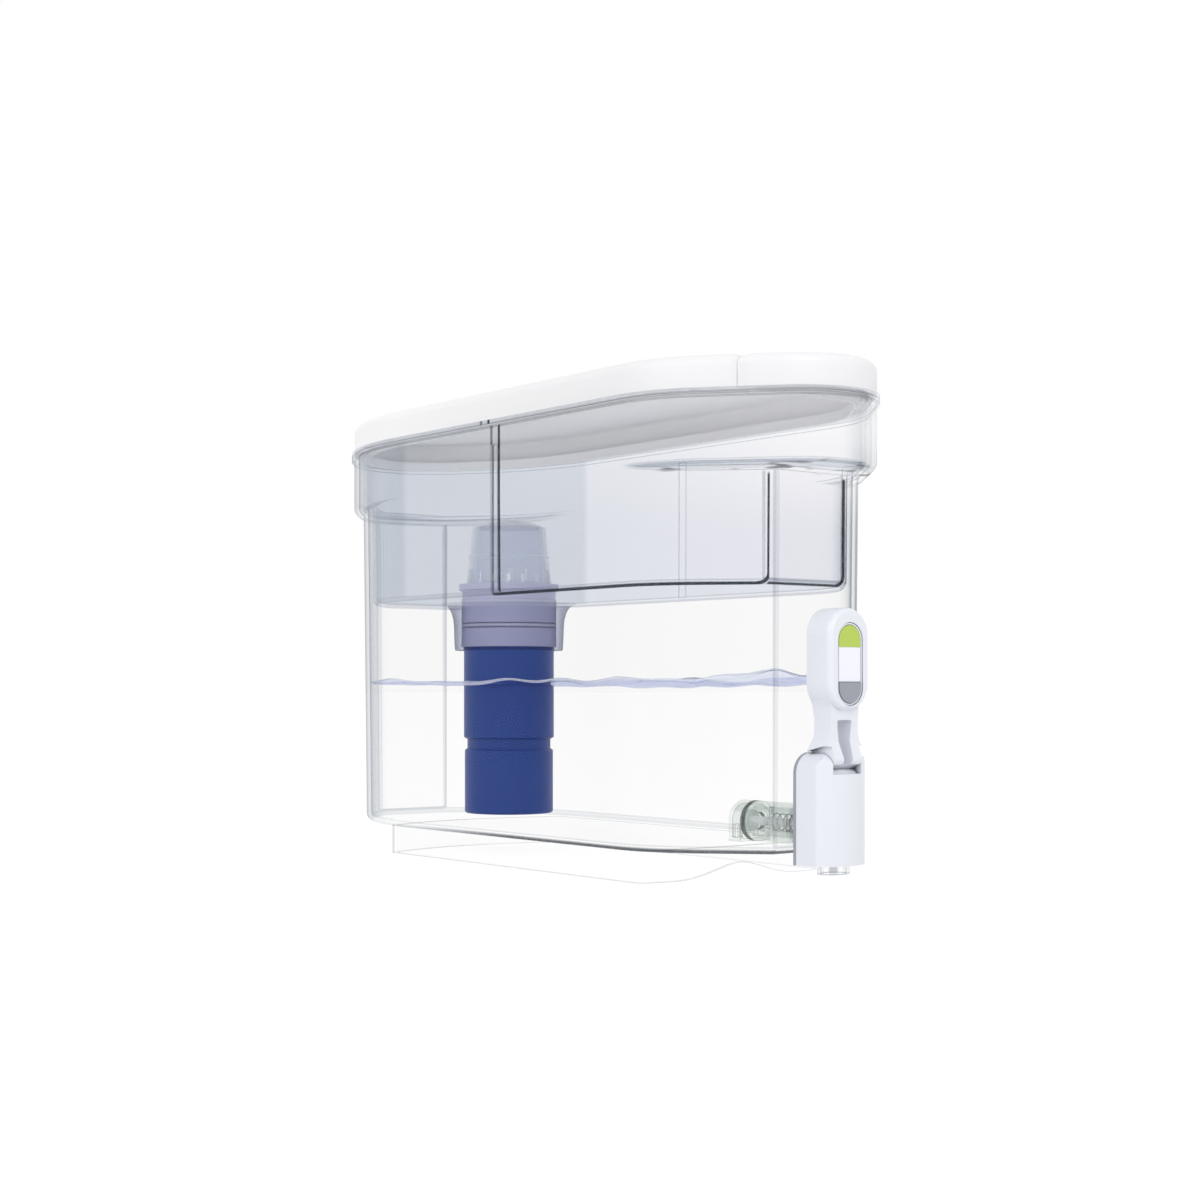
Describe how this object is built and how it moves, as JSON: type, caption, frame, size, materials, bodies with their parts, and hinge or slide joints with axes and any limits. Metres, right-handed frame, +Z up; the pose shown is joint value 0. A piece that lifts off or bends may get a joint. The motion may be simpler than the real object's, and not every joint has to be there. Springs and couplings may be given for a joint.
{
  "type": "gravity water filter with tap",
  "caption": "Slim clear water tank with a hanging reservoir, a lift-out filter cartridge, a white lid with a hinged fill door, and a lever tap with a filter-life indicator.",
  "frame": {"origin": "middle of the overall box, on the table under the foot", "axes": "+X towards the tap, +Z up, +Y to the left of someone who faces the tap from inside the tank"},
  "size_m": [0.412, 0.1456, 0.252],
  "materials": {
    "clear_plastic": "clear, polished",
    "smoke_plastic": "clear with a grey tint, polished",
    "lid_plastic": "satin white",
    "tap_plastic": "satin cool white",
    "valve_plastic": "natural white moulding",
    "filter_blue": "deep blue moulding",
    "filter_lilac": "lilac moulding",
    "cap_blue": "pale blue translucent moulding",
    "seal_rubber": "moulded rubber",
    "gasket_rubber": "moulded rubber",
    "steel": "bright",
    "carbon": "moulded carbon block",
    "screen_mesh": "fine woven screen",
    "bezel_plastic": "satin white",
    "lens_green": "tinted, polished",
    "window_pale": "polished",
    "button_grey": "fine matte",
    "board_green": "solder mask",
    "led_clear": "clear"
  },
  "bodies": {
    "tank": {"tank_shell": "clear_plastic", "foot_skirt": "clear_plastic", "inlet_barrel": "clear_plastic", "barrel_nut": "clear_plastic", "inlet_hood": "clear_plastic", "spout_nozzle": "clear_plastic", "wall_gasket": "gasket_rubber", "inner_gasket": "gasket_rubber", "valve_seat_ring": "seal_rubber", "return_spring": "steel", "tap_back_plate": "tap_plastic", "tap_housing": "tap_plastic", "housing_screws": "steel", "pivot_pin": "steel"},
    "valve": {"valve_stem": "valve_plastic", "poppet_seal": "seal_rubber"},
    "lever": {"lever_shell": "tap_plastic", "lever_back_cover": "tap_plastic", "pod_screws": "steel", "indicator_bezel": "bezel_plastic", "status_lens": "lens_green", "status_window": "window_pale", "circuit_board": "board_green", "indicator_led": "led_clear", "button_switch": "valve_plastic", "coin_cell": "steel", "battery_clip": "steel"},
    "button": {"reset_button": "button_grey"},
    "reservoir": {"reservoir_basin": "smoke_plastic"},
    "filter": {"filter_housing": "filter_blue", "filter_collar": "filter_lilac", "filter_cap": "cap_blue", "filter_o_ring": "seal_rubber", "inlet_screen": "screen_mesh", "filter_media": "carbon"},
    "lid": {"rear_cover": "lid_plastic", "hinge_pins": "steel"},
    "door": {"fill_door": "lid_plastic"}
  },
  "joints": [
    {"name": "reservoir_lift", "type": "slide", "parent": "tank", "child": "reservoir", "axis": [0, 0, 1], "range_m": [0, 0.24]},
    {"name": "lid_lift", "type": "slide", "parent": "reservoir", "child": "lid", "axis": [0, 0, 1], "range_m": [0, 0.275]},
    {"name": "filter_lift", "type": "slide", "parent": "reservoir", "child": "filter", "axis": [0, 0, 1], "range_m": [0, 0.22]},
    {"name": "fill_door_hinge", "type": "hinge", "parent": "lid", "child": "door", "pos_m": [0.173, 0, 0.2498], "axis": [0, -1, 0], "range_deg": [0, 100]},
    {"name": "lever_tilt", "type": "hinge", "parent": "tank", "child": "lever", "pos_m": [0.1914, 0, 0.05], "axis": [0, 1, 0], "range_deg": [0, 22], "stiffness_Nm_per_rad": 0.4, "springref_deg": -14.32},
    {"name": "valve_slide", "type": "slide", "parent": "tank", "child": "valve", "axis": [-1, 0, 0], "range_m": [0, 0.0031], "deforming": ["return_spring"]},
    {"name": "button_press", "type": "slide", "parent": "lever", "child": "button", "axis": [-1, 0, 0], "range_m": [0, 0.0008], "stiffness_N_per_m": 500, "springref_m": -0.0012}
  ],
  "couplings": [
    {"joint": "filter_lift", "follows": "lid_lift", "ratio": 0.8},
    {"joint": "valve_slide", "follows": "lever_tilt", "m_per_rad": 0.008}
  ]
}
